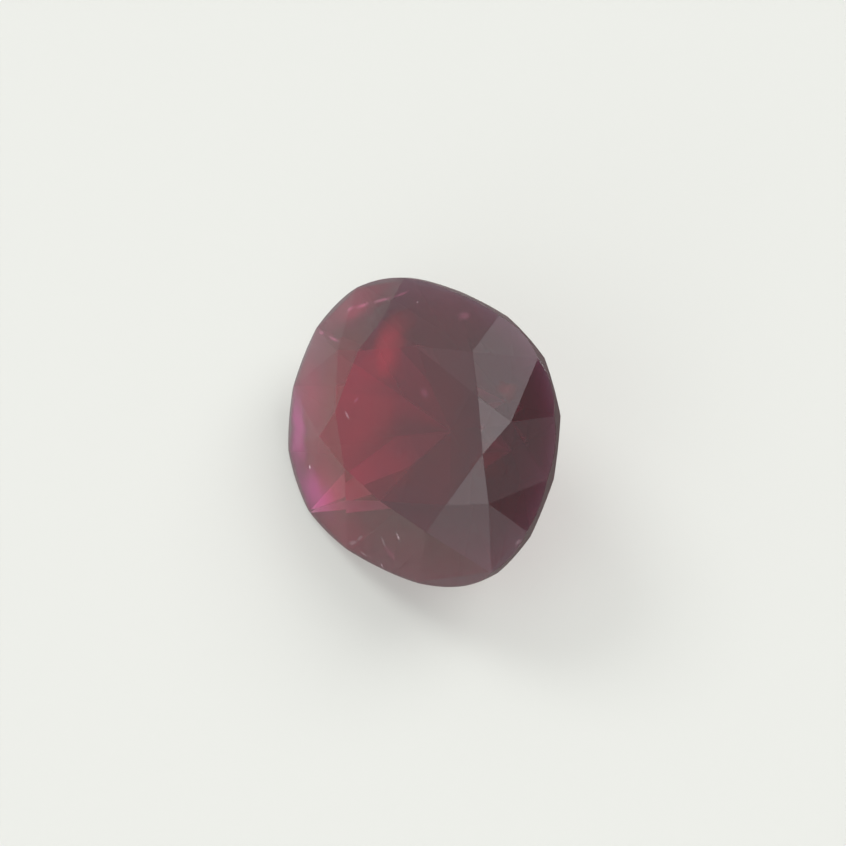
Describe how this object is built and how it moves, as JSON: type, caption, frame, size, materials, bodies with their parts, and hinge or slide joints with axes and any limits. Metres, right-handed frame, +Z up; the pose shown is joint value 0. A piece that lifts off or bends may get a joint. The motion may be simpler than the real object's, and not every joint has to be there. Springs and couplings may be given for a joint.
{
  "type": "faceted ruby",
  "caption": "Loose red gemstone in a cushion brilliant cut, with table, crown, thin girdle and pointed pavilion, lying tilted on one pavilion facet.",
  "frame": {"origin": "centre of the underside of the bounding box, on the surface that the stone lies on", "axes": "+Z up as the stone lies, +Y along its greatest extent, and the table faces up and towards -X"},
  "size_m": [0.0062, 0.007, 0.0051],
  "materials": {
    "ruby": "polished corundum, see-through purplish red with hazy inclusions and lightly worn facet edges"
  },
  "bodies": {
    "root": {"ruby": "ruby"}
  },
  "joints": []
}
